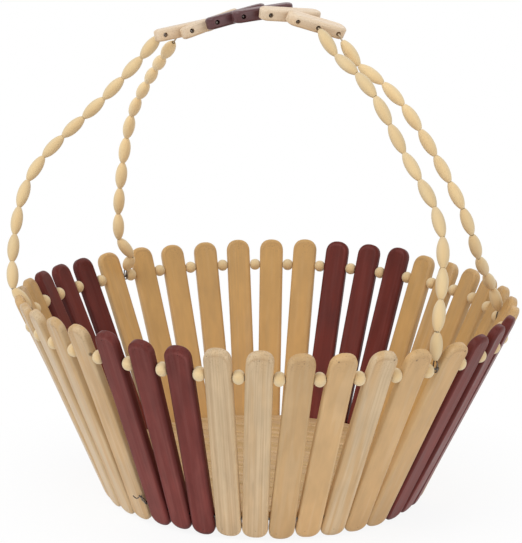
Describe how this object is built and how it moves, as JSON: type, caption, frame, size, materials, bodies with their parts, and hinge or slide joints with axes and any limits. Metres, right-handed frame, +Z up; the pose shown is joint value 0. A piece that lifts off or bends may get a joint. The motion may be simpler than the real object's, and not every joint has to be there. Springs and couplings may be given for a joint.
{
  "type": "bread basket",
  "caption": "Flared round basket of flat wooden slats on two wires, with a wooden floor and a beaded wire handle with a wooden grip.",
  "frame": {"origin": "on the table, under the middle of the basket", "axes": "+Z up; +X along the handle, towards its right end in the picture's view"},
  "size_m": [0.3202, 0.3036, 0.3084],
  "materials": {
    "light_slat": "pale wood with a satin lacquer",
    "brown_slat": "wood stained maroon brown, satin lacquer",
    "bead": "pale turned wood with a satin lacquer",
    "floor": "pale wood with a satin lacquer",
    "light_stick": "pale wood with a satin lacquer",
    "brown_stick": "wood stained dark brown, satin lacquer",
    "wire": "bare drawn steel wire"
  },
  "bodies": {
    "basket": {"slat_01": "light_slat", "slat_02": "light_slat", "slat_03": "light_slat", "slat_04": "light_slat", "slat_05": "light_slat", "slat_06": "light_slat", "slat_07": "light_slat", "slat_08": "brown_slat", "slat_09": "brown_slat", "slat_10": "brown_slat", "slat_11": "light_slat", "slat_12": "light_slat", "slat_13": "light_slat", "slat_14": "light_slat", "slat_15": "light_slat", "slat_16": "light_slat", "slat_17": "light_slat", "slat_18": "brown_slat", "slat_19": "brown_slat", "slat_20": "brown_slat", "slat_21": "light_slat", "slat_22": "light_slat", "slat_23": "light_slat", "slat_24": "light_slat", "slat_25": "light_slat", "slat_26": "light_slat", "slat_27": "light_slat", "slat_28": "brown_slat", "slat_29": "brown_slat", "slat_30": "brown_slat", "slat_31": "light_slat", "slat_32": "light_slat", "slat_33": "light_slat", "slat_34": "light_slat", "slat_35": "light_slat", "slat_36": "light_slat", "slat_37": "light_slat", "slat_38": "brown_slat", "slat_39": "brown_slat", "slat_40": "brown_slat", "rim_wire_with_beads": "bead", "base_wire": "wire", "floor_boards": "floor"},
    "handle_left": {"strand_left_front": "bead", "strand_left_back": "bead"},
    "handle_grip": {"grip_stick_1": "light_stick", "grip_stick_2": "light_stick", "grip_stick_3": "brown_stick", "grip_stick_4": "brown_stick", "grip_stick_5": "light_stick", "grip_stick_6": "light_stick", "grip_pin_1": "wire", "grip_pin_2": "wire", "grip_pin_3": "wire", "grip_pin_4": "wire", "grip_pin_5": "wire", "grip_pin_6": "wire"},
    "handle_right": {"strand_right_front": "bead", "strand_right_back": "bead"}
  },
  "joints": [
    {"name": "left_rim_hinge", "type": "hinge", "parent": "basket", "child": "handle_left", "pos_m": [-0.13395, 0.01109, 0.11044], "axis": [0.0678, 0.9977, -0.0059], "range_deg": [-5, 5]},
    {"name": "grip_hinge", "type": "hinge", "parent": "handle_left", "child": "handle_grip", "pos_m": [-0.0642, 0.0001, 0.288], "axis": [0.0678, 0.9977, 0], "range_deg": [-13, 13]},
    {"name": "right_rim_hinge", "type": "hinge", "parent": "basket", "child": "handle_right", "pos_m": [0.13395, -0.01109, 0.11044], "axis": [0.0678, 0.9977, 0.0059], "range_deg": [-5, 5]}
  ],
  "couplings": [
    {"joint": "grip_hinge", "follows": "left_rim_hinge", "ratio": -2.57},
    {"joint": "right_rim_hinge", "follows": "left_rim_hinge", "ratio": 0.94}
  ]
}
